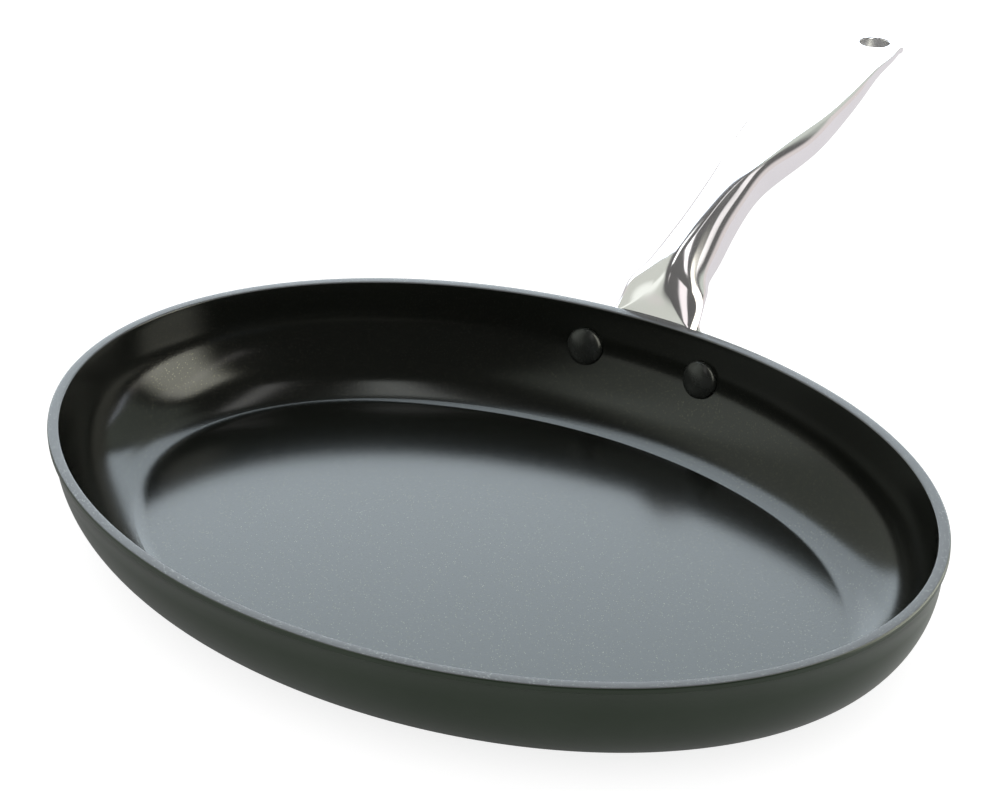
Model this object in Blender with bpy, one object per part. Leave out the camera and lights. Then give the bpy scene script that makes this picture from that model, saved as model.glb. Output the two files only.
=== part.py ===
"""Oval fish pan: a pressed aluminium body with a steel base plate and a cast steel handle on two rivets.

Sizes are in metres and +Z is up. The origin is on the underside of the base plate, in the middle of
the oval. X runs along the oval and +Y points out along the handle.
"""

import math
from dataclasses import astuple, dataclass, replace

import bmesh
import bpy
from mathutils import Matrix, Vector
from mathutils.bvhtree import BVHTree

# Body
BODY_LENGTH = 0.3600
BODY_WIDTH = 0.2542
BODY_HEIGHT = 0.0475
WALL_THICKNESS = 0.0033
WALL_TILT = math.radians(4.5)
CORNER_RADIUS = 0.0385
FLOOR_HEIGHT = 0.0050
LIP_OVERHANG = 0.0011
LIP_HEIGHT = 0.0024
LIP_STEP = 0.0008
RIM_EDGE_RADIUS = 0.0008

# Base plate
PLATE_MARGIN = 0.0055
PLATE_THICKNESS = 0.0010
PLATE_PROUD = 0.0005

# Rivets
RIVET_SPACING = 0.0535
RIVET_DROP = 0.0177
SHANK_DIAMETER = 0.0048
HEAD_DIAMETER = 0.0155
HEAD_HEIGHT = 0.0042
TAIL_DIAMETER = 0.0110
TAIL_HEIGHT = 0.0024
HEAD_EDGE = 0.0006

# Handle: its length from rim to tip, the rise of its upper side over the rim, and its largest cut
HANDLE_LENGTH = 0.2120
HANDLE_RISE = 0.0500
HANDLE_DEPTH = 0.0220
GRIP_WIDTH = 0.0356
FLANGE_THICKNESS = 0.0040
FLANGE_MARGIN = 0.0040
FLANGE_FOOT = 0.0065
SHOULDER_DROP = 0.0045
FLANGE_EDGE = 0.0008
HANGING_HOLE_DIAMETER = 0.0140
TIP_RADIUS = 0.0130
TIP_EDGE = 0.0022
FLANK_AIM = 0.3
KEEL_ROUNDNESS = 2.2
EDGE_LIMIT = 0.6
THINNING = 4
LIP_RELIEF = 4

# Gap kept between pieces that touch
FIT_CLEARANCE = 0.0003

# Fineness
OVAL_STEPS = 80
CORNER_STEPS = 8
SECTION_STEPS = 3
FLANGE_STEP = 0.0023
ROUND_STEPS = 24
CREST_POINTS = 4
FLANK_POINTS = 4
KEEL_POINTS = 7
TIP_ANGLES = (20, 38, 54, 68, 80)
DOME_ANGLES = (18, 36, 54, 70, 82)

# Where the pieces meet
RIVET_HEIGHT = BODY_HEIGHT - RIVET_DROP
RECESS_CEILING = PLATE_THICKNESS + FIT_CLEARANCE
PROBE_DISTANCE = 0.0300
CUTTER_LENGTH = 0.0400


@dataclass(frozen=True)
class Level:
    """One level of the flange.

    place is -1 at its foot, 0 beside the rivets and 1 at its shoulder. narrowing is the share taken
    off its width, swelling is how many thicknesses the root of the handle stands out from the plate
    there, and keel is how sharply it does so.
    """

    place: float
    narrowing: float
    swelling: float
    keel: float


FLANGE_LEVELS = (
    Level(-1.0, 0.33, 0.03, 5.0),
    Level(-0.8, 0.13, 0.05, 5.0),
    Level(-0.5, 0.03, 0.10, 4.8),
    Level(0.0, 0.00, 0.55, 4.2),
    Level(0.5, 0.10, 1.50, 3.2),
    Level(1.0, 0.38, 2.90, 2.2),
)


@dataclass(frozen=True)
class Section:
    """One cross-section of the handle, cut square to its length.

    out and up place the middle of its upper side, from the rim's outer edge and top, as shares of
    the run from the rim to the hanging hole and of the handle's rise. tilt is the climb there in
    degrees. half is half its width over half the grip's, and depth the height of the cut over the
    handle's. widest is the share of that height where it is widest, and keel the shape of the under
    side (above 1 hollow, below 1 full). Over its own half width, crest is the half width of its
    upper side, edge the rounding beside it and bow the rise of its middle.
    """

    out: float
    up: float
    tilt: float
    half: float
    depth: float
    widest: float
    keel: float
    crest: float
    edge: float
    bow: float


RIM = Section(0.006, 0.000, 83, 1.084, 0.750, 0.30, 1.50, 0.830, 0.104, 0.010)
BELL = Section(0.013, 0.090, 75, 1.034, 0.864, 0.33, 1.10, 0.462, 0.136, 0.027)
THROAT = Section(0.028, 0.240, 60, 0.966, 1.000, 0.40, 0.75, 0.209, 0.145, 0.035)
SADDLE = Section(0.075, 0.384, 36, 0.787, 0.964, 0.50, 0.56, 0.171, 0.143, 0.029)
NECK = Section(0.137, 0.500, 22, 0.713, 0.973, 0.56, 0.50, 0.244, 0.118, 0.031)
WAIST = Section(0.208, 0.612, 17, 0.640, 0.909, 0.60, 0.46, 0.351, 0.132, 0.035)
THUMB_REST = Section(0.294, 0.722, 14, 0.618, 0.782, 0.60, 0.45, 0.500, 0.145, 0.055)
GRIP_START = Section(0.390, 0.808, 10, 0.691, 0.755, 0.60, 0.43, 0.740, 0.146, 0.073)
PALM = Section(0.515, 0.876, 7, 0.938, 0.741, 0.58, 0.43, 0.743, 0.120, 0.072)
GRIP = Section(0.628, 0.918, 6, 1.000, 0.655, 0.55, 0.43, 0.865, 0.112, 0.079)
FINGERS = Section(0.749, 0.972, 4, 0.994, 0.482, 0.50, 0.43, 0.893, 0.113, 0.073)
GRIP_END = Section(0.857, 0.994, -1, 0.871, 0.350, 0.50, 0.43, 0.948, 0.116, 0.071)
TAPER = Section(0.945, 0.968, -5, 0.775, 0.236, 0.50, 0.43, 0.957, 0.101, 0.058)
HOLE = Section(1.000, 0.970, -6, 0.708, 0.200, 0.50, 0.43, 0.968, 0.095, 0.048)

GRIP_SECTIONS = (RIM, BELL, THROAT, SADDLE, NECK, WAIST, THUMB_REST, GRIP_START,
                 PALM, GRIP, FINGERS, GRIP_END, TAPER, HOLE)


def clear_scene():
    for thing in list(bpy.data.objects):
        bpy.data.objects.remove(thing, do_unlink=True)


def make_material(name, colour, roughness, metallic):
    material = bpy.data.materials.new(name)
    material.use_nodes = True
    shader = material.node_tree.nodes["Principled BSDF"]
    shader.inputs["Base Color"].default_value = (*colour, 1.0)
    shader.inputs["Roughness"].default_value = roughness
    shader.inputs["Metallic"].default_value = metallic
    material.diffuse_color = (*colour, 1.0)
    return material


def make_object(name, points, faces, material=None):
    mesh = bpy.data.meshes.new(name)
    mesh.from_pydata([tuple(point) for point in points], [], faces)
    shape = bmesh.new()
    shape.from_mesh(mesh)
    bmesh.ops.recalc_face_normals(shape, faces=shape.faces)
    shape.to_mesh(mesh)
    shape.free()
    mesh.shade_smooth()
    mesh.set_sharp_from_angle(angle=math.radians(35))
    thing = bpy.data.objects.new(name, mesh)
    bpy.context.collection.objects.link(thing)
    if material:
        mesh.materials.append(material)
    return thing


def join_rings(rings):
    """Skin a row of closed rings with quads and close both ends.

    An end ring of one point is an apex and a longer one is a flat cap.
    """
    points = []
    starts = []
    for ring in rings:
        starts.append(len(points))
        points.extend(ring)
    faces = []
    for (first, ring), (second, other) in zip(zip(starts, rings), zip(starts[1:], rings[1:])):
        count = max(len(ring), len(other))
        for step in range(count):
            following = (step + 1) % count
            if len(ring) == 1:
                faces.append((first, second + following, second + step))
            elif len(other) == 1:
                faces.append((first + step, first + following, second))
            else:
                faces.append((first + step, first + following, second + following, second + step))
    for start, ring in ((starts[0], rings[0]), (starts[-1], rings[-1])):
        if len(ring) > 1:
            faces.append(tuple(start + step for step in range(len(ring))))
    return points, faces


def cut(thing, cutter):
    """Subtract a cutter, which stays in the scene as a wire guide."""
    cutter.hide_render = True
    cutter.display_type = "WIRE"
    modifier = thing.modifiers.new(cutter.name, "BOOLEAN")
    modifier.operation = "DIFFERENCE"
    modifier.solver = "EXACT"
    modifier.object = cutter


def cylinder_cutter(name, centre, axis, diameter, length):
    bpy.ops.mesh.primitive_cylinder_add(vertices=ROUND_STEPS, radius=diameter / 2, depth=length)
    cutter = bpy.context.object
    cutter.name = name
    turn = axis.to_track_quat("Z", "Y").to_matrix().to_4x4()
    cutter.matrix_world = Matrix.Translation(centre) @ turn
    return cutter


# Shape of the body: an oval rim, and a wall whose inset from that rim depends on the height

def oval_point(angle, inset, height):
    """The rim's oval moved square inward by inset."""
    half_length = BODY_LENGTH / 2
    half_width = BODY_WIDTH / 2
    normal = Vector((half_width * math.cos(angle), half_length * math.sin(angle), 0)).normalized()
    edge = Vector((half_length * math.cos(angle), half_width * math.sin(angle), height))
    return edge - normal * inset


def oval_ring(inset, height):
    return [oval_point(2 * math.pi * step / OVAL_STEPS, inset, height) for step in range(OVAL_STEPS)]


def corner_radius(depth=0.0):
    """Radius of the bend between wall and underside, on the surface depth inside the outer one.

    The bend ends below the lip.
    """
    room = BODY_HEIGHT - LIP_HEIGHT - LIP_STEP - PLATE_PROUD
    return min(CORNER_RADIUS, room / (1 - math.sin(WALL_TILT))) - depth


def corner_centre():
    """Inset and height of the middle of that bend."""
    radius = corner_radius()
    height = PLATE_PROUD + radius
    wall_foot = height - radius * math.sin(WALL_TILT)
    inset = LIP_OVERHANG + (BODY_HEIGHT - wall_foot) * math.tan(WALL_TILT)
    return inset + radius * math.cos(WALL_TILT), height


def wall_angle(height, depth=0.0):
    """Lean of the wall from upright, on the surface that lies depth inside the outer one."""
    centre_height = corner_centre()[1]
    rise = (centre_height - height) / corner_radius(depth)
    return max(WALL_TILT, math.asin(min(1.0, max(0.0, rise))))


def wall_inset(height, depth=0.0):
    """Inset of the wall's surface at a height, depth inside the outer surface."""
    angle = wall_angle(height, depth)
    if angle > WALL_TILT:
        return corner_centre()[0] - corner_radius(depth) * math.cos(angle)
    return LIP_OVERHANG + (BODY_HEIGHT - height) * math.tan(WALL_TILT) + depth / math.cos(WALL_TILT)


def corner_profile(depth, last_height):
    """Insets and heights round the bend, from the wall's foot down to last_height."""
    centre_inset, centre_height = corner_centre()
    radius = corner_radius(depth)
    end = math.acos(min(1.0, (centre_height - last_height) / radius))
    start = math.pi / 2 - WALL_TILT
    profile = []
    for step in range(CORNER_STEPS + 1):
        angle = start + (end - start) * step / CORNER_STEPS
        profile.append((centre_inset - radius * math.sin(angle), centre_height - radius * math.cos(angle)))
    return profile


def plate_inset():
    return corner_centre()[0] + PLATE_MARGIN


def body_profile():
    """Insets and heights from the recess, up the outside, over the rim and down to the floor."""
    recess_inset = plate_inset() - FIT_CLEARANCE
    outside = list(reversed(corner_profile(0.0, PLATE_PROUD)))
    lip_foot = BODY_HEIGHT - LIP_HEIGHT
    inner_edge = wall_inset(BODY_HEIGHT, WALL_THICKNESS)
    soft = RIM_EDGE_RADIUS
    diagonal = soft * (1 - math.sqrt(0.5))
    rim = [
        (wall_inset(lip_foot - LIP_STEP), lip_foot - LIP_STEP),
        (0.0, lip_foot),
        (0.0, BODY_HEIGHT - soft),
        (diagonal, BODY_HEIGHT - diagonal),
        (soft, BODY_HEIGHT),
        (inner_edge - soft, BODY_HEIGHT),
        (inner_edge - diagonal, BODY_HEIGHT - diagonal),
        (wall_inset(BODY_HEIGHT - soft, WALL_THICKNESS), BODY_HEIGHT - soft),
    ]
    inside = corner_profile(WALL_THICKNESS, FLOOR_HEIGHT)
    return [(recess_inset, RECESS_CEILING), (recess_inset, PLATE_PROUD)] + outside + rim + inside


def body_shape():
    rings = [[Vector((0, 0, RECESS_CEILING))]]
    rings += [oval_ring(inset, height) for inset, height in body_profile()]
    rings.append([Vector((0, 0, FLOOR_HEIGHT))])
    return join_rings(rings)


def make_base_plate(material):
    soft = PLATE_PROUD / 2
    inset = plate_inset()
    rings = [
        [Vector((0, 0, 0))],
        oval_ring(inset + soft, 0.0),
        oval_ring(inset, soft),
        oval_ring(inset, PLATE_THICKNESS),
        [Vector((0, 0, PLATE_THICKNESS))],
    ]
    return make_object("base_plate", *join_rings(rings), material)


# Shape of the handle: a flange that follows the wall, then a run of cross-sections out to the tip

def wall_bow(across, height):
    """How far the wall's outer face falls back from its middle at a place across the handle."""
    inset = wall_inset(min(height, BODY_HEIGHT))
    half_length = BODY_LENGTH / 2 - inset
    half_width = BODY_WIDTH / 2 - inset
    return half_width * (1 - math.sqrt(max(0.0, 1 - (across / half_length) ** 2)))


def bend(start, corner, end, share):
    """Point on the quadratic curve that rounds a corner."""
    return start * (1 - share) ** 2 + corner * (2 * share * (1 - share)) + end * share ** 2


@dataclass(frozen=True)
class Cut:
    """A cross-section of the handle at its real size, with the middle of its upper side in space."""

    middle: Vector
    tilt: float
    half: float
    depth: float
    widest: float
    keel: float
    crest: float
    edge: float
    bow: float


def real_cut(section):
    reach = HANDLE_LENGTH - TIP_RADIUS
    half = section.half * GRIP_WIDTH / 2
    return Cut(
        middle=Vector((0, BODY_WIDTH / 2 + section.out * reach, BODY_HEIGHT + section.up * HANDLE_RISE)),
        tilt=math.radians(section.tilt),
        half=half,
        depth=section.depth * HANDLE_DEPTH,
        widest=section.widest,
        keel=section.keel,
        crest=section.crest * half,
        edge=section.edge * half,
        bow=section.bow * half,
    )


def half_outline(cut):
    """Right half of a cut, as places across and down, from crest to keel."""
    corner = Vector((cut.crest, 0))
    widest_down = cut.widest * cut.depth
    side = Vector((cut.half, FLANK_AIM * widest_down))
    widest = Vector((cut.half, widest_down))
    outline = []
    for step in range(CREST_POINTS):
        share = step / CREST_POINTS
        outline.append(Vector((cut.crest * share, -cut.bow * (1 - share ** 2))))
    along_crest = outline[-1] - corner
    along_flank = side - corner
    soft = min(cut.edge, EDGE_LIMIT * along_crest.length, EDGE_LIMIT * along_flank.length)
    start = corner + along_crest.normalized() * soft
    end = corner + along_flank.normalized() * soft
    outline += [bend(start, corner, end, share) for share in (0.0, 0.5, 1.0)]
    used = soft / (2 * along_flank.length)
    for step in range(1, FLANK_POINTS + 1):
        share = used + (1 - used) * step / FLANK_POINTS
        outline.append(bend(corner, side, widest, share))
    for step in range(1, KEEL_POINTS + 1):
        across = math.cos(math.pi / 2 * step / KEEL_POINTS)
        fullness = max(0.0, 1 - across ** KEEL_ROUNDNESS) ** cut.keel
        down = widest_down + (cut.depth - widest_down) * fullness
        outline.append(Vector((cut.half * across, down)))
    return outline


def cut_ring(cut):
    """A closed ring of points in space for one cut."""
    down = Vector((0, math.sin(cut.tilt), -math.cos(cut.tilt)))
    right = []
    for place in half_outline(cut):
        point = cut.middle + down * place.y
        back = wall_bow(place.x, point.z) * math.sin(cut.tilt) ** 2
        right.append(Vector((place.x, point.y - back, point.z)))
    left = [Vector((-point.x, point.y, point.z)) for point in right[-2:0:-1]]
    return right + left


def blend_rows(rows, places, place):
    """Smooth curve through rows of numbers that stand at rising places."""
    index = 0
    while index < len(places) - 2 and place > places[index + 1]:
        index += 1
    span = places[index + 1] - places[index]
    share = (place - places[index]) / span

    def slope(at, column):
        low = max(0, at - 1)
        high = min(len(rows) - 1, at + 1)
        return (rows[high][column] - rows[low][column]) / (places[high] - places[low])

    blended = []
    for column in range(len(rows[0])):
        first = rows[index][column]
        second = rows[index + 1][column]
        lift = slope(index, column) * span
        fall = slope(index + 1, column) * span
        square = share ** 2
        cube = share ** 3
        blended.append((2 * cube - 3 * square + 1) * first + (cube - 2 * square + share) * lift
                       + (3 * square - 2 * cube) * second + (cube - square) * fall)
    return blended


def level_height(place):
    """Height of a place on the flange, counted as a Level counts it."""
    if place < 0:
        return RIVET_HEIGHT + place * (TAIL_DIAMETER / 2 + FLANGE_FOOT)
    return RIVET_HEIGHT + place * (RIVET_DROP - SHOULDER_DROP)


def flange_cuts():
    """Level cuts of the flange, from its foot up to its shoulder.

    Its front follows the wall and leaves it near the shoulder, to pass the lip. The rivets that
    go through it set its outline.
    """
    widest = (RIVET_SPACING + TAIL_DIAMETER) / 2 + FLANGE_MARGIN
    heights = [level_height(level.place) for level in FLANGE_LEVELS]
    rows = [astuple(level) for level in FLANGE_LEVELS]
    count = math.ceil((heights[-1] - heights[0]) / FLANGE_STEP)
    cuts = []
    for step in range(count + 1):
        height = heights[0] + (heights[-1] - heights[0]) * step / count
        place, narrowing, swelling, keel = blend_rows(rows, heights, height)
        half = widest * (1 - narrowing)
        relief = LIP_OVERHANG * max(0.0, place) ** LIP_RELIEF
        depth = FLANGE_THICKNESS * (1 + swelling) - relief
        off_wall = FIT_CLEARANCE / math.cos(wall_angle(height)) + relief
        cuts.append(Cut(
            middle=Vector((0, BODY_WIDTH / 2 - wall_inset(height) + off_wall, height)),
            tilt=math.pi / 2,
            half=half,
            depth=depth,
            widest=FLANGE_THICKNESS / depth,
            keel=keel,
            crest=half - FLANGE_EDGE,
            edge=FLANGE_EDGE,
            bow=0.0,
        ))
    return cuts


def grip_cuts(shoulder):
    """Cuts from the shoulder of the flange to the hanging hole."""
    cuts = [shoulder] + [real_cut(section) for section in GRIP_SECTIONS]
    rows = [(*cut.middle, *astuple(cut)[1:]) for cut in cuts]
    places = list(range(len(rows)))
    blended = []
    for step in range(1, SECTION_STEPS * (len(rows) - 1) + 1):
        numbers = blend_rows(rows, places, step / SECTION_STEPS)
        blended.append(Cut(Vector(numbers[:3]), *numbers[3:]))
    return blended


def tip_cuts(last):
    """Cuts of the rounded end beyond the hanging hole."""
    along = Vector((0, math.cos(last.tilt), math.sin(last.tilt)))
    down = Vector((0, math.sin(last.tilt), -math.cos(last.tilt)))
    cuts = []
    for angle in TIP_ANGLES:
        reach = math.sin(math.radians(angle))
        half = TIP_RADIUS * math.cos(math.radians(angle))
        thin = 1 - (1 - TIP_EDGE / last.depth) * reach ** THINNING
        cuts.append(replace(
            last,
            middle=last.middle + along * TIP_RADIUS * reach + down * last.depth * (1 - thin) / 2,
            half=half,
            depth=last.depth * thin,
            crest=half * last.crest / last.half,
            bow=half * last.bow / last.half,
        ))
    return cuts


def handle_shape():
    flange = flange_cuts()
    cuts = flange + grip_cuts(flange[-1]) + tip_cuts(real_cut(HOLE))
    return join_rings([cut_ring(cut) for cut in cuts])


def hanging_hole_cutter():
    hole = real_cut(HOLE)
    down = Vector((0, math.sin(hole.tilt), -math.cos(hole.tilt)))
    centre = hole.middle + down * hole.depth / 2
    return cylinder_cutter("hanging_hole_cutter", centre, down, HANGING_HOLE_DIAMETER, CUTTER_LENGTH)


# Rivets: each seats on the wall inside and on the flange outside

def rivet_frame(side):
    """Point on the cooking side of the wall, and the direction out through the wall."""
    inset = wall_inset(RIVET_HEIGHT, WALL_THICKNESS)
    lean = wall_angle(RIVET_HEIGHT, WALL_THICKNESS)
    across = side * RIVET_SPACING / 2
    angle = math.acos(across / (BODY_LENGTH / 2 - inset))
    level = Vector((BODY_WIDTH * math.cos(angle), BODY_LENGTH * math.sin(angle), 0)).normalized()
    outward = level * math.cos(lean) - Vector((0, 0, math.sin(lean)))
    return oval_point(angle, inset, RIVET_HEIGHT), outward


def rivet_end(surface, origin, outward, probe, diameter, height):
    """Rings of a domed head seated on a surface, from the middle of its dome to its shank.

    probe is the direction in which the head presses on the surface.
    """
    across = outward.cross(Vector((0, 0, 1))).normalized()
    upward = across.cross(outward)

    def ring(radius, rise, count=ROUND_STEPS):
        points = []
        for step in range(count):
            angle = 2 * math.pi * step / ROUND_STEPS
            beside = origin + (across * math.cos(angle) + upward * math.sin(angle)) * radius
            seat = surface.ray_cast(beside - probe * PROBE_DISTANCE, probe)[0] or beside
            points.append(seat - probe * (FIT_CLEARANCE + rise))
        return points

    rings = [ring(0.0, height, count=1)]
    for angle in DOME_ANGLES:
        rise = HEAD_EDGE + (height - HEAD_EDGE) * math.cos(math.radians(angle))
        rings.append(ring(diameter / 2 * math.sin(math.radians(angle)), rise))
    rings.append(ring(diameter / 2, HEAD_EDGE))
    rings.append(ring(diameter / 2, 0.0))
    rings.append(ring((diameter + SHANK_DIAMETER) / 4, 0.0))
    rings.append(ring(SHANK_DIAMETER / 2, 0.0))
    return rings


def make_rivet(name, side, wall, flange, material):
    origin, outward = rivet_frame(side)
    head = rivet_end(wall, origin, outward, outward, HEAD_DIAMETER, HEAD_HEIGHT)
    tail = rivet_end(flange, origin, outward, -outward, TAIL_DIAMETER, TAIL_HEIGHT)
    return make_object(name, *join_rings(head + tail[::-1]), material)


def main():
    clear_scene()
    coated = make_material("anodised_and_coated_aluminium", (0.030, 0.036, 0.028), 0.35, 0.3)
    plate_steel = make_material("brushed_base_steel", (0.52, 0.52, 0.51), 0.38, 1.0)
    polished_steel = make_material("polished_cast_steel", (0.80, 0.79, 0.77), 0.10, 1.0)
    rivet_coat = make_material("coated_rivet", (0.018, 0.019, 0.018), 0.32, 0.2)

    body_points, body_faces = body_shape()
    handle_points, handle_faces = handle_shape()
    body = make_object("pan_body", body_points, body_faces, coated)
    handle = make_object("handle", handle_points, handle_faces, polished_steel)
    make_base_plate(plate_steel)
    wall = BVHTree.FromPolygons(body_points, body_faces)
    flange = BVHTree.FromPolygons(handle_points, handle_faces)

    hole = SHANK_DIAMETER + 2 * FIT_CLEARANCE
    for side, label in ((-1, "left"), (1, "right")):
        make_rivet(f"rivet_{label}", side, wall, flange, rivet_coat)
        origin, outward = rivet_frame(side)
        cutter = cylinder_cutter(f"rivet_hole_cutter_{label}", origin, outward, hole, CUTTER_LENGTH)
        cut(body, cutter)
        cut(handle, cutter)
    cut(handle, hanging_hole_cutter())


if __name__ == "__main__":
    main()
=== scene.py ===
"""Looks of an oval fish pan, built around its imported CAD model.

Lengths are in metres in the CAD model's own frame: the origin is under the middle of the base
plate, X runs along the oval, +Y points out along the handle and +Z is up.
"""

import logging
import math
from dataclasses import dataclass, field, replace
from enum import Enum
from typing import Any, ClassVar, Sequence

import bmesh
import bpy
import numpy as np
from mathutils import Matrix, Vector
from mathutils.bvhtree import BVHTree

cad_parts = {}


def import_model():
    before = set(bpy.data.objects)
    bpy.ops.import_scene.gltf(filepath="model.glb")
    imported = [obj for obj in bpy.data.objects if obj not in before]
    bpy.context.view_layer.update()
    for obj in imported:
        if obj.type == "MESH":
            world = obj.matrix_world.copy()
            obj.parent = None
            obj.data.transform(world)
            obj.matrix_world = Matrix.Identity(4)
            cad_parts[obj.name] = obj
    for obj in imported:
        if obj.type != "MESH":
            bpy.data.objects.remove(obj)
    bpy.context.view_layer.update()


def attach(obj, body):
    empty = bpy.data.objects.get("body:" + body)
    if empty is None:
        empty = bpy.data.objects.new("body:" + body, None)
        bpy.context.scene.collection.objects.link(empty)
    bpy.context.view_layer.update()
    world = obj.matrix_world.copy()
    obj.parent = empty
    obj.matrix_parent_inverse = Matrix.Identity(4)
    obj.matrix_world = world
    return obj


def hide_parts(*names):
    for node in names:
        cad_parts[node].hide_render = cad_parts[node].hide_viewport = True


LOG = logging.getLogger("fish_pan")
WHITE = (1.0, 1.0, 1.0)
Colour = tuple[float, float, float]
Places = list[tuple[float, float]]


# Shader maths and nodes


class Signal:
    """An output of a shader node that takes part in Python arithmetic."""

    def __init__(self, board: "Board", socket: bpy.types.NodeSocket) -> None:
        """Keep the board that holds the node, and its socket."""
        self.board = board
        self.socket = socket

    def _math(self, operation: str, *values: Any) -> "Signal":
        """Add a Math node that works on the given values."""
        inputs = dict(enumerate(values))
        return self.board.signal("ShaderNodeMath", {"operation": operation}, inputs)

    def __add__(self, other: Any) -> "Signal":
        """Sum with a value or a signal."""
        return self._math("ADD", self, other)

    def __radd__(self, other: Any) -> "Signal":
        """Sum with a value on the left."""
        return self._math("ADD", other, self)

    def __sub__(self, other: Any) -> "Signal":
        """Difference from a value or a signal."""
        return self._math("SUBTRACT", self, other)

    def __rsub__(self, other: Any) -> "Signal":
        """Difference with a value on the left."""
        return self._math("SUBTRACT", other, self)

    def __mul__(self, other: Any) -> "Signal":
        """Product with a value or a signal."""
        return self._math("MULTIPLY", self, other)

    def __rmul__(self, other: Any) -> "Signal":
        """Product with a value on the left."""
        return self._math("MULTIPLY", other, self)

    def __truediv__(self, other: Any) -> "Signal":
        """Quotient by a value or a signal."""
        return self._math("DIVIDE", self, other)

    def __rtruediv__(self, other: Any) -> "Signal":
        """Quotient of a value on the left."""
        return self._math("DIVIDE", other, self)

    def __gt__(self, other: Any) -> "Signal":
        """One where the signal is above a value, and zero elsewhere."""
        return self._math("GREATER_THAN", self, other)

    def __abs__(self) -> "Signal":
        """Size of the signal without its sign."""
        return self._math("ABSOLUTE", self)

    def largest(self, other: Any) -> "Signal":
        """Larger of the signal and another value."""
        return self._math("MAXIMUM", self, other)

    def rise(self, low: float, high: float) -> "Signal":
        """Smooth step from zero at low to one at high.

        Args:
            low: value at which the result starts to rise.
            high: value at which the result reaches one.

        Returns:
            The step as a signal between zero and one.
        """
        inputs = {"Value": self, "From Min": low, "From Max": high}
        settings = {"interpolation_type": "SMOOTHSTEP"}
        return self.board.signal("ShaderNodeMapRange", settings, inputs)


@dataclass(frozen=True)
class Noise:
    """Fractal noise around one half.

    It has scale features in a metre and detail finer layers of the weight rough, and runs faster
    along each axis by the stretch.
    """

    scale: float
    detail: float = 2.0
    rough: float = 0.5
    stretch: Colour = (1.0, 1.0, 1.0)


Shares = tuple[tuple[Noise, float], ...]


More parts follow.
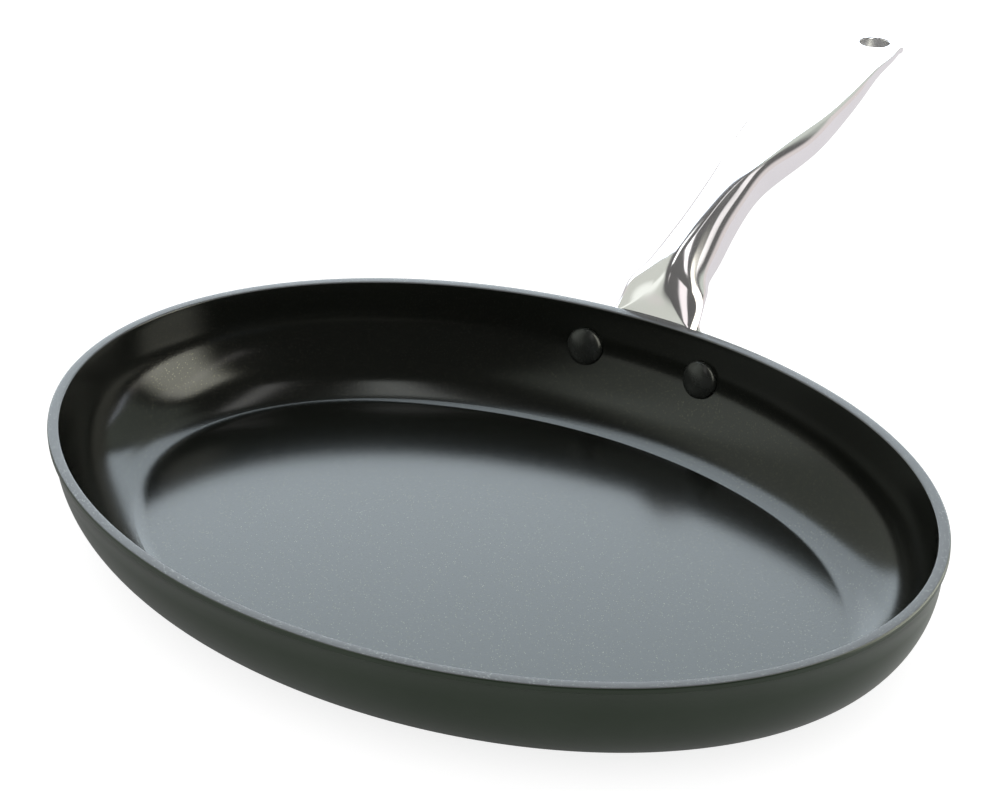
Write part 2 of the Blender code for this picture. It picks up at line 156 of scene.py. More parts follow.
class Board:
    """Adds nodes to one node tree."""

    def __init__(self, tree: bpy.types.NodeTree) -> None:
        """Start from an empty tree.

        Args:
            tree: nodes of a material or of the world.
        """
        self.tree = tree
        tree.nodes.clear()
        self.noises: dict[Noise, Signal] = {}

    def feed(self, socket: bpy.types.NodeSocket, value: Any) -> None:
        """Set or link an input of a node.

        Args:
            socket: the input.
            value: number, colour, vector, signal or output that goes into it.
        """
        if isinstance(value, Signal):
            value = value.socket
        if isinstance(value, bpy.types.NodeSocket):
            self.tree.links.new(value, socket)
        elif isinstance(value, tuple) and socket.type == "RGBA":
            socket.default_value = (*value, 1.0)
        else:
            socket.default_value = value

    def node(self, kind: str, settings: dict[str, Any] | None = None,
             inputs: dict[Any, Any] | None = None) -> bpy.types.Node:
        """Add one node.

        Args:
            kind: the node's type.
            settings: its properties, set before its sockets.
            inputs: values or signals of its sockets, by name or number.

        Returns:
            The new node.
        """
        made = self.tree.nodes.new(kind)
        for name, value in (settings or {}).items():
            setattr(made, name, value)
        for name, value in (inputs or {}).items():
            self.feed(made.inputs[name], value)
        return made

    def signal(self, kind: str, settings: dict[str, Any] | None = None,
               inputs: dict[Any, Any] | None = None, output: Any = 0) -> Signal:
        """Add one node and wrap one of its outputs.

        Args:
            kind: the node's type.
            settings: its properties.
            inputs: values or signals of its sockets.
            output: name or number of the output.

        Returns:
            That output as a signal.
        """
        return Signal(self, self.node(kind, settings, inputs).outputs[output])

    def blend(self, share: Any, first: Any, second: Any) -> Signal:
        """Mix two colours.

        Args:
            share: how much of the second colour shows.
            first: colour at a share of zero.
            second: colour at a share of one.

        Returns:
            The mixed colour.
        """
        inputs = {0: share, 6: first, 7: second}
        return self.signal("ShaderNodeMix", {"data_type": "RGBA"}, inputs, 2)

    def place(self, stretch: Colour = (1.0, 1.0, 1.0)) -> Signal:
        """Position on the object.

        Args:
            stretch: how much faster it runs along each axis.

        Returns:
            The position in metres.
        """
        where = self.signal("ShaderNodeTexCoord", output="Object")
        if stretch == (1.0, 1.0, 1.0):
            return where
        inputs = {0: where, 1: stretch}
        return self.signal("ShaderNodeVectorMath", {"operation": "MULTIPLY"}, inputs)

    def along(self, where: Signal, axis: Sequence[float]) -> Signal:
        """Part of a position or direction that runs along an axis.

        Args:
            where: the position or direction.
            axis: the axis.

        Returns:
            The part as a number.
        """
        inputs = {0: where, 1: tuple(axis)}
        return self.signal("ShaderNodeVectorMath", {"operation": "DOT_PRODUCT"}, inputs, "Value")

    def noise(self, kind: Noise) -> Signal:
        """Noise over the object, which is made once for each kind.

        Args:
            kind: the noise.

        Returns:
            The noise as a signal.
        """
        if kind not in self.noises:
            inputs = {"Vector": self.place(kind.stretch), "Scale": kind.scale,
                      "Detail": kind.detail, "Roughness": kind.rough}
            self.noises[kind] = self.signal("ShaderNodeTexNoise", {}, inputs)
        return self.noises[kind]

    def bump(self, height: Signal, depth: float) -> Signal:
        """Surface normal that follows a height.

        Args:
            height: the relief, from zero to one.
            depth: how many metres deep it is.

        Returns:
            The changed normal.
        """
        inputs = {"Strength": 1.0, "Distance": depth, "Height": height}
        return self.signal("ShaderNodeBump", {}, inputs)

    def surface(self, inputs: dict[str, Any]) -> None:
        """Finish a material with a Principled shader."""
        shader = self.node("ShaderNodeBsdfPrincipled", {}, inputs)
        self.node("ShaderNodeOutputMaterial", {}, {"Surface": shader.outputs[0]})

    def glowing(self, under: bpy.types.Node, colour: Colour, strength: Any) -> None:
        """Finish a material with light on top of a shader.

        Args:
            under: node of the shader.
            colour: colour of the light.
            strength: how strong the light is.
        """
        light = self.node("ShaderNodeEmission", {}, {"Color": colour, "Strength": strength})
        both = self.node("ShaderNodeAddShader", {}, {0: under.outputs[0], 1: light.outputs[0]})
        self.node("ShaderNodeOutputMaterial", {}, {"Surface": both.outputs[0]})


def new_material(name: str) -> tuple[bpy.types.Material, Board]:
    """Make an empty material.

    Args:
        name: what the material is called.

    Returns:
        The material, and a board for its nodes.
    """
    made = bpy.data.materials.new(name)
    made.use_nodes = True
    return made, Board(made.node_tree)


# Finishes


@dataclass(frozen=True)
class CeramicCoating:
    """Dark, smooth non-stick coating with fine metallic flecks.

    A share of the cells holds a fleck, which fades over fleck_reach from the cell's middle and is
    fully metal above fleck_edge. The coating is rubbed and cloudy, and has a fine ripple.
    """

    name: str = "ceramic_coating"
    colour: Colour = (0.0050, 0.0056, 0.0044)
    fleck_colour: Colour = (0.168, 0.163, 0.138)
    flecks_per_metre: float = 1800.0
    fleck_share: float = 0.42
    fleck_reach: tuple[float, float] = (0.1, 0.45)
    fleck_edge: float = 0.3
    fleck_roughness: float = 0.12
    roughness: float = 0.15
    rubbed: Noise = Noise(9.0, 4.0, stretch=(1.0, 1.6, 1.0))
    rubbed_sway: float = 0.03
    cloud: Noise = Noise(24.0, 3.0)
    cloud_sway: float = 0.02
    index: float = 1.5
    ripple: Noise = Noise(1500.0, 1.0)
    ripple_depth: float = 0.000012

    def material(self) -> bpy.types.Material:
        """Build the coating's material.

        Returns:
            The material.
        """
        made, board = new_material(self.name)
        inputs = {"Vector": board.place(), "Scale": self.flecks_per_metre}
        cells = board.node("ShaderNodeTexVoronoi", {}, inputs)
        chance = board.signal("ShaderNodeSeparateColor", {}, {0: cells.outputs["Color"]})
        near = 1 - Signal(board, cells.outputs["Distance"]).rise(*self.fleck_reach)
        fleck = chance.rise(1 - self.fleck_share, 1.0) * near
        rubbed = (board.noise(self.rubbed) - 0.5) * self.rubbed_sway
        cloud = (board.noise(self.cloud) - 0.5) * self.cloud_sway
        board.surface({
            "Base Color": board.blend(fleck, self.colour, self.fleck_colour),
            "Metallic": fleck.rise(0.0, self.fleck_edge),
            "Roughness": self.roughness + fleck * self.fleck_roughness + rubbed + cloud,
            "IOR": self.index,
            "Normal": board.bump(board.noise(self.ripple), self.ripple_depth),
        })
        return made


@dataclass(frozen=True)
class RimCoating(CeramicCoating):
    """The coating on the edge of the rim, which is paler and rougher; its pale grey is partly a
    paler band on the rim and partly a painted reflection of the bright room.
    """

    name: str = "coated_rim"
    # painted reflection: this pale grey partly stands in for the lip's reflection of the bright
    # room, and the low index below weakens the real reflection
    colour: Colour = (0.090, 0.092, 0.095)
    roughness: float = 0.22
    index: float = 1.32


@dataclass(frozen=True)
class Finish:
    """A metal or coat whose colour, roughness and relief change gently over the surface.

    The mottle takes the first colour to the second between its two limits. Each sway moves the
    roughness by a noise, and each relief adds its share of a noise to the height.
    """

    name: str
    colours: tuple[Colour, Colour]
    mottle: Noise
    limits: tuple[float, float]
    metallic: float
    roughness: float
    sways: Shares
    reliefs: Shares
    depth: float
    index: float = 1.5

    def material(self) -> bpy.types.Material:
        """Build the finish's material.

        Returns:
            The material.
        """
        made, board = new_material(self.name)
        sway = sum((board.noise(noise) - 0.5) * share for noise, share in self.sways)
        height = sum(board.noise(noise) * share for noise, share in self.reliefs)
        mottle = board.noise(self.mottle).rise(*self.limits)
        board.surface({
            "Base Color": board.blend(mottle, *self.colours),
            "Metallic": self.metallic,
            "Roughness": self.roughness + sway,
            "IOR": self.index,
            "Normal": board.bump(height, self.depth),
        })
        return made


@dataclass(frozen=True)
class AnodisedAluminium(Finish):
    """Hard anodised outside of the body, dark olive, with the marks of turning and a fine grain."""

    cloud: ClassVar[Noise] = Noise(14.0, 4.0, 0.6)
    grain: ClassVar[Noise] = Noise(4200.0)
    turning: ClassVar[Noise] = Noise(30.0, stretch=(1.0, 1.0, 90.0))
    name: str = "anodised_aluminium"
    colours: tuple[Colour, Colour] = ((0.011, 0.020, 0.009), (0.016, 0.026, 0.014))
    mottle: Noise = cloud
    limits: tuple[float, float] = (0.35, 0.75)
    metallic: float = 0.0
    roughness: float = 0.30
    sways: Shares = ((cloud, 0.06), (turning, 0.03))
    reliefs: Shares = ((grain, 0.8), (turning, 0.2))
    depth: float = 0.000006


@dataclass(frozen=True)
class PolishedSteel(Finish):
    """Cast stainless steel, polished, with faint marks left by the wheel."""

    wheel: ClassVar[Noise] = Noise(22.0, 3.0, 0.7, (60.0, 6.0, 60.0))
    haze: ClassVar[Noise] = Noise(38.0, 4.0, 0.6)
    name: str = "polished_steel"
    colours: tuple[Colour, Colour] = ((0.905, 0.865, 0.90), (0.87785, 0.83905, 0.873))
    mottle: Noise = haze
    limits: tuple[float, float] = (0.3, 0.8)
    metallic: float = 0.9
    roughness: float = 0.09
    sways: Shares = ((haze, 0.04), (wheel, 0.02))
    reliefs: Shares = ((wheel, 1.0),)
    depth: float = 0.0000006


@dataclass(frozen=True)
class BoredSteel(Finish):
    """Cut wall of the hanging hole, left matt by the drill."""

    rings: ClassVar[Noise] = Noise(260.0, 3.0, 0.6, (1.0, 6.0, 14.0))
    name: str = "bored_steel"
    colours: tuple[Colour, Colour] = ((0.425, 0.42075, 0.4165), (0.50, 0.495, 0.49))
    mottle: Noise = rings
    limits: tuple[float, float] = (0.3, 0.7)
    metallic: float = 0.8
    roughness: float = 0.38
    sways: Shares = ((rings, 0.12),)
    reliefs: Shares = ((rings, 1.0),)
    depth: float = 0.000012


@dataclass(frozen=True)
class BrushedSteel(Finish):
    """Ferritic steel of the base plate, brushed along the oval."""

    brush: ClassVar[Noise] = Noise(2600.0, 3.0, 0.6, (0.03, 1.0, 1.0))
    cloud: ClassVar[Noise] = Noise(12.0, 4.0)
    name: str = "brushed_steel"
    colours: tuple[Colour, Colour] = ((0.504, 0.4995, 0.4905), (0.56, 0.555, 0.545))
    mottle: Noise = brush
    limits: tuple[float, float] = (0.2, 0.8)
    metallic: float = 1.0
    roughness: float = 0.34
    sways: Shares = ((brush, 0.16), (cloud, 0.08))
    reliefs: Shares = ((brush, 1.0),)
    depth: float = 0.000010


@dataclass(frozen=True)
class RivetCoat(Finish):
    """Dark coat on the rivet heads, a little rougher than the pan's."""

    cloud: ClassVar[Noise] = Noise(160.0, 3.0)
    grain: ClassVar[Noise] = Noise(3200.0)
    name: str = "rivet_coat"
    colours: tuple[Colour, Colour] = ((0.0130, 0.0142, 0.0125), (0.0195, 0.0213, 0.01875))
    mottle: Noise = cloud
    limits: tuple[float, float] = (0.3, 0.8)
    metallic: float = 0.0
    roughness: float = 0.27
    sways: Shares = ((cloud, 0.08),)
    reliefs: Shares = ((grain, 1.0),)
    depth: float = 0.000005


# Meshes


@dataclass
class Skin:
    """Points and faces of a shape that is made of rings, with a finish for each band of faces."""

    points: list[Sequence[float]] = field(default_factory=list)
    faces: list[tuple[int, ...]] = field(default_factory=list)
    finishes: list[int] = field(default_factory=list)

    @classmethod
    def from_rings(cls, rings: Sequence[np.ndarray], finishes: Sequence[int] | None = None,
                   capped: bool = True) -> "Skin":
        """Skin a row of rings.

        Args:
            rings: arrays of points. A ring of one point is an apex.
            finishes: number of the finish of each band, counted from the first ring.
            capped: whether an end ring of more than one point is closed.

        Returns:
            The skinned shape.
        """
        made = cls()
        starts = []
        for ring in rings:
            starts.append(len(made.points))
            made.points.extend(tuple(point) for point in ring)
        for band in range(len(rings) - 1):
            first, second = starts[band], starts[band + 1]
            before, after = len(rings[band]), len(rings[band + 1])
            count = max(before, after)
            finish = finishes[band] if finishes else 0
            for step in range(count):
                following = (step + 1) % count
                if before == 1:
                    face = (first, second + following, second + step)
                elif after == 1:
                    face = (first + step, first + following, second)
                else:
                    face = (first + step, first + following, second + following, second + step)
                made.faces.append(face)
                made.finishes.append(finish)
        for end in (0, -1):
            if capped and len(rings[end]) > 1:
                made.faces.append(tuple(starts[end] + step for step in range(len(rings[end]))))
                made.finishes.append(finishes[end] if finishes else 0)
        return made

    def to_object(self, name: str, materials: Sequence[bpy.types.Material]) -> bpy.types.Object:
        """Make a Blender object of the shape.

        Args:
            name: the object's name.
            materials: its finishes, in the order of their numbers.

        Returns:
            The object, linked to the scene.
        """
        mesh = bpy.data.meshes.new(name)
        mesh.from_pydata(self.points, [], self.faces)
        for material in materials:
            mesh.materials.append(material)
        mesh.polygons.foreach_set("material_index", self.finishes)
        shape = bmesh.new()
        shape.from_mesh(mesh)
        bmesh.ops.recalc_face_normals(shape, faces=shape.faces)
        shape.to_mesh(mesh)
        shape.free()
        made = bpy.data.objects.new(name, mesh)
        bpy.context.scene.collection.objects.link(made)
        return made


def shade(thing: bpy.types.Object, sharp_angle: float) -> None:
    """Shade an object smooth, with creases above an angle in degrees."""
    thing.data.shade_smooth()
    thing.data.set_sharp_from_angle(angle=math.radians(sharp_angle))


def drill(thing: bpy.types.Object, cutters: Sequence[bpy.types.Object]) -> None:
    """Cut holes in an object and delete the cutters.

    Args:
        thing: object to cut.
        cutters: closed objects to take out of it.
    """
    for cutter in cutters:
        modifier = thing.modifiers.new(cutter.name, "BOOLEAN")
        modifier.operation = "DIFFERENCE"
        modifier.solver = "EXACT"
        modifier.object = cutter
    evaluated = thing.evaluated_get(bpy.context.evaluated_depsgraph_get())
    cut_mesh = bpy.data.meshes.new_from_object(evaluated)
    thing.modifiers.clear()
    thing.data = cut_mesh
    for cutter in cutters:
        bpy.data.objects.remove(cutter)


def turned(name: str, profile: Sequence[tuple[float, float]], centre: Vector, axis: Vector,
           steps: int, materials: Sequence[bpy.types.Material] = (),
           finishes: Sequence[int] | None = None) -> bpy.types.Object:
    """Make a closed turned shape.

    Args:
        name: the object's name.
        profile: radii and places along the axis.
        centre: point that the places count from.
        axis: direction of the axis.
        steps: number of sides.
        materials: its finishes.
        finishes: number of the finish of each band.

    Returns:
        The turned object.
    """
    turn = axis.to_track_quat("Z", "Y").to_matrix().to_4x4()
    frame = Matrix.Translation(centre) @ turn
    angles = [2 * math.pi * step / steps for step in range(steps)]
    rings = []
    for radius, along in profile:
        ring = [frame @ Vector((radius * math.cos(a), radius * math.sin(a), along)) for a in angles]
        rings.append(np.array([tuple(point) for point in ring]))
    return Skin.from_rings(rings, finishes).to_object(name, materials)


def smooth_rows(places: np.ndarray, rows: np.ndarray, start_slope: np.ndarray,
                wanted: np.ndarray) -> np.ndarray:
    """Read a cubic spline with even curvature through rows of numbers.

    Args:
        places: rising places of the rows.
        rows: numbers to pass through, one row for each place.
        start_slope: slope of each number at the first place.
        wanted: places to read at.

    Returns:
        One row for each wanted place.
    """
    count = len(places)
    spans = np.diff(places)
    system = np.zeros((count, count))
    right = np.zeros_like(rows)
    system[0, 0], system[0, 1] = 2 * spans[0], spans[0]
    right[0] = 6 * ((rows[1] - rows[0]) / spans[0] - start_slope)
    system[-1, -1] = 1
    for k in range(1, count - 1):
        system[k, k - 1:k + 2] = spans[k - 1], 2 * (spans[k - 1] + spans[k]), spans[k]
        right[k] = 6 * ((rows[k + 1] - rows[k]) / spans[k]
                        - (rows[k] - rows[k - 1]) / spans[k - 1])
    bends = np.linalg.solve(system, right)
    read = []
    for place in wanted:
        k = int(np.clip(np.searchsorted(places, place) - 1, 0, count - 2))
        span = spans[k]
        before, after = (places[k + 1] - place) / span, (place - places[k]) / span
        bend = (before ** 3 - before) * bends[k] + (after ** 3 - after) * bends[k + 1]
        read.append(before * rows[k] + after * rows[k + 1] + bend * span ** 2 / 6)
    return np.array(read)


# The body


class Zone(Enum):
    """Parts of the body that have a finish of their own."""

    COATED = 0
    ANODISED = 1
    RIM = 2


@dataclass
class PanBody:
    """The pressed oval body, coated inside and anodised outside.

    Its wall leans out by the tilt under an overhanging lip, and turns into the underside in a bend.
    The underside is proud of the ground, and the base plate sits in its recess. Inside, a narrow
    cone and a rounding between bend and floor make the crease, which is softer at the oval's ends.
    """

    length: float = 0.3600
    width: float = 0.2542
    height: float = 0.0475
    wall: float = 0.0033
    tilt: float = math.radians(4.5)
    bend: float = 0.0385
    floor: float = 0.0050
    overhang: float = 0.0011
    lip: float = 0.0024
    lip_step: float = 0.0008
    rim_edge: float = 0.0008
    proud: float = 0.0005
    recess: float = 0.0013
    plate_margin: float = 0.0055
    crease_top: float = math.radians(18.8)
    crease_slope: float = math.radians(14.6)
    crease_edge: float = 0.0020
    end_crease_edge: float = 0.0185
    gap: float = 0.0003
    sides: int = 320
    bend_steps: int = 36
    foot_steps: int = 12
    edge_steps: int = 5
    sharp_angle: float = 40.0
    # shares of the overhang and of the lip's step, from the wall up to the lip
    lip_curve: tuple[tuple[float, float], ...] = ((0.75, -0.3), (0.25, -0.04), (0.0, 0.3))
    # shares of the inner wall and of the cone, and insets beyond the cone's foot, that have a ring
    wall_rings: tuple[float, ...] = (0.3, 0.65)
    cone_rings: tuple[float, ...] = (0.0, 0.08, 0.5, 0.92, 1.0)
    floor_rings: tuple[float, ...] = (0.0004, 0.003, 0.03)
    # share of the last step of the bend that a ring before the cone keeps
    bend_hold: float = 0.06
    # share of the half length at which the crease starts to soften, and over which it does so
    soft_from: float = 0.35
    soft_over: float = 0.5

    def points(self, angles: np.ndarray, inset: float, height: float) -> np.ndarray:
        """Points on the rim's oval moved square inward.

        Args:
            angles: where round the oval.
            inset: how far inward.
            height: height of the points.

        Returns:
            One row for each angle.
        """
        half_length, half_width = self.length / 2, self.width / 2
        across, along = half_width * np.cos(angles), half_length * np.sin(angles)
        size = np.hypot(across, along)
        return np.stack([
            half_length * np.cos(angles) - across / size * inset,
            half_width * np.sin(angles) - along / size * inset,
            np.full(len(angles), height),
        ], axis=1)

    def ring(self, inset: float, height: float) -> np.ndarray:
        """A whole oval of points at an inset and a height."""
        return self.points(np.arange(self.sides) * 2 * math.pi / self.sides, inset, height)

    def bend_centre(self) -> tuple[float, float]:
        """Middle of the bend between wall and underside.

        Returns:
            Its inset and its height.
        """
        height = self.proud + self.bend
        foot = height - self.bend * math.sin(self.tilt)
        inset = self.overhang + (self.height - foot) * math.tan(self.tilt)
        return inset + self.bend * math.cos(self.tilt), height

    def wall_angle(self, height: float, depth: float = 0.0) -> float:
        """Lean of the wall from upright.

        Args:
            height: where on the wall.
            depth: how far inside the outer surface.

        Returns:
            The lean in radians.
        """
        rise = (self.bend_centre()[1] - height) / (self.bend - depth)
        return max(self.tilt, math.asin(min(1.0, max(0.0, rise))))

    def wall_inset(self, height: float, depth: float = 0.0) -> float:
        """Inset of the wall's surface.

        Args:
            height: where on the wall.
            depth: how far inside the outer surface.

        Returns:
            The inset from the rim's oval.
        """
        angle = self.wall_angle(height, depth)
        if angle > self.tilt:
            return self.bend_centre()[0] - (self.bend - depth) * math.cos(angle)
        lean = (self.height - height) * math.tan(self.tilt)
        return self.overhang + lean + depth / math.cos(self.tilt)

    def bend_profile(self, depth: float, last_height: float) -> Places:
        """Insets and heights round the bend.

        Args:
            depth: how far inside the outer surface.
            last_height: height at which the bend stops.

        Returns:
            The profile from the wall's foot down.
        """
        inset, height = self.bend_centre()
        radius = self.bend - depth
        end = math.acos(min(1.0, (height - last_height) / radius))
        angles = np.linspace(math.pi / 2 - self.tilt, end, self.bend_steps + 1)
        return [(inset - radius * math.sin(a), height - radius * math.cos(a)) for a in angles]

    def crease_profile(self, edge: float) -> Places:
        """Insets and heights of the narrow cone and the rounding between bend and floor.

        Args:
            edge: radius of the rounding.

        Returns:
            The profile from the bend to the floor.
        """
        inset, height = self.bend_centre()
        radius = self.bend - self.wall
        inset -= radius * math.sin(self.crease_top)
        height -= radius * math.cos(self.crease_top)
        fall, run = math.sin(self.crease_slope), math.cos(self.crease_slope)
        length = (height - self.floor - edge * (1 - run)) / fall
        cone = [(inset + run * length * s, height - fall * length * s) for s in self.cone_rings]
        start = cone[-1][0] + edge * fall
        angles = np.linspace(self.crease_slope, 0, self.foot_steps + 1)[1:]
        foot = [(start - edge * math.sin(a), self.floor + edge * (1 - math.cos(a))) for a in angles]
        return cone + foot

    def rounded(self, inset: float, inner: bool) -> Places:
        """Quarter round on a corner of the rim.

        Args:
            inset: where the sharp corner stands.
            inner: whether it is the corner on the cooking side.

        Returns:
            Insets and heights round the corner, from the outside in.
        """
        side = -1.0 if inner else 1.0
        centre = inset + side * self.rim_edge, self.height - self.rim_edge
        places = []
        for step in range(self.edge_steps + 1):
            share = step / self.edge_steps
            angle = math.pi / 2 * (1 - share if inner else share)
            places.append((centre[0] - side * self.rim_edge * math.cos(angle),
                           centre[1] + self.rim_edge * math.sin(angle)))
        return places

    def profile(self, crease_edge: float) -> list[tuple[float, float, Zone]]:
        """Insets, heights and zones from the recess, up the outside and down to the floor.

        Args:
            crease_edge: radius of the rounding between the bend and the floor.

        Returns:
            One inset, height and zone for each ring.
        """
        edge = self.bend_centre()[0] + self.plate_margin - self.gap
        under = [(edge, self.recess), (edge, self.proud)]
        outside = list(reversed(self.bend_profile(0.0, self.proud)))
        foot = self.height - self.lip
        step = foot - self.lip_step
        outside.append((self.wall_inset(step), step))
        outside += [(self.overhang * out, foot + self.lip_step * up) for out, up in self.lip_curve]
        outer_edge = self.rounded(0.0, False)
        inner = self.wall_inset(self.height, self.wall)
        inner_edge = self.rounded(inner, True)
        crease = self.crease_profile(crease_edge)
        bend = self.bend_profile(self.wall, crease[0][1])
        held = [last * (1 - self.bend_hold) + before * self.bend_hold
                for last, before in zip(bend[-1], bend[-2])]
        bend.insert(-1, tuple(held))
        wall = [(inner + (bend[0][0] - inner) * s, self.height + (bend[0][1] - self.height) * s)
                for s in self.wall_rings]
        flat = [(crease[-1][0] + further, self.floor) for further in self.floor_rings]
        inside = wall + bend[:-1] + crease + flat
        half = len(outer_edge) // 2
        zones = {Zone.ANODISED: under + outside + outer_edge[:half],
                 Zone.RIM: outer_edge[half:] + inner_edge[:half],
                 Zone.COATED: inner_edge[half:] + inside}
        return [(*place, zone) for zone, places in zones.items() for place in places]

    def build(self, finishes: dict[Zone, bpy.types.Material]) -> bpy.types.Object:
        """Make the body.

        Args:
            finishes: material of each zone.

        Returns:
            The body without its rivet holes.
        """
        profile = self.profile(self.crease_edge)
        soft_profile = self.profile(self.end_crease_edge)
        reach = np.abs(np.cos(np.arange(self.sides) * 2 * math.pi / self.sides))
        share = np.clip((reach - self.soft_from) / self.soft_over, 0, 1)
        share = (share * share * (3 - 2 * share))[:, None]
        rings = [np.array([(0.0, 0.0, self.recess)])]
        rings += [self.ring(*sharp[:2]) * (1 - share) + self.ring(*soft[:2]) * share
                  for sharp, soft in zip(profile, soft_profile)]
        rings.append(np.array([(0.0, 0.0, self.floor)]))
        bands = [Zone.ANODISED.value] + [zone.value for _, _, zone in profile]
        skin = Skin.from_rings(rings, bands)
        return skin.to_object("body_shell", [finishes[zone] for zone in Zone])


@dataclass
class BasePlate:
    """The steel plate in the underside of the body."""

    body: PanBody
    thickness: float = 0.0010
    edge: float = 0.00025
    sharp_angle: float = 50.0

    def build(self, finish: bpy.types.Material) -> bpy.types.Object:
        """Make the plate.

        Args:
            finish: its material.

        Returns:
            The plate.
        """
        inset = self.body.bend_centre()[0] + self.body.plate_margin
        rings = [np.array([(0.0, 0.0, 0.0)])]
        for step in range(self.body.edge_steps + 1):
            angle = math.pi / 2 * step / self.body.edge_steps
            rings.append(self.body.ring(inset + self.edge * (1 - math.sin(angle)),
                                        self.edge * (1 - math.cos(angle))))
        rings += [self.body.ring(inset, self.thickness), np.array([(0.0, 0.0, self.thickness)])]
        return Skin.from_rings(rings).to_object("base_disc", [finish])


# The handle


@dataclass(frozen=True)
class Cut:
    """A cross-section of the handle.

    middle is the middle of its upper side and tilt its climb. half is half its width, depth its
    height, widest the share of that height where it is widest and keel the shape of its under
    side. crest is the half width of its upper side, edge the rounding beside it and bow the rise
    of its middle.
    """

    middle: tuple[float, float, float]
    tilt: float
    half: float
    depth: float
    widest: float
    keel: float
    crest: float
    edge: float
    bow: float

    def row(self) -> list[float]:
        """The cut as plain numbers."""
        return [*self.middle, self.tilt, self.half, self.depth, self.widest, self.keel,
                self.crest, self.edge, self.bow]

    @classmethod
    def from_row(cls, row: Sequence[float]) -> "Cut":
        """Make a cut of plain numbers."""
        return cls(tuple(row[:3]), *row[3:])


def bent(start: np.ndarray, corner: np.ndarray, end: np.ndarray, shares: np.ndarray) -> Places:
    """Points on the quadratic curve that rounds a corner.

    Args:
        start: where the curve leaves the first side.
        corner: the sharp corner.
        end: where the curve meets the second side.
        shares: places along the curve, from zero to one.

    Returns:
        One point for each place.
    """
    return [tuple(start * (1 - s) ** 2 + corner * (2 * s * (1 - s)) + end * s ** 2) for s in shares]


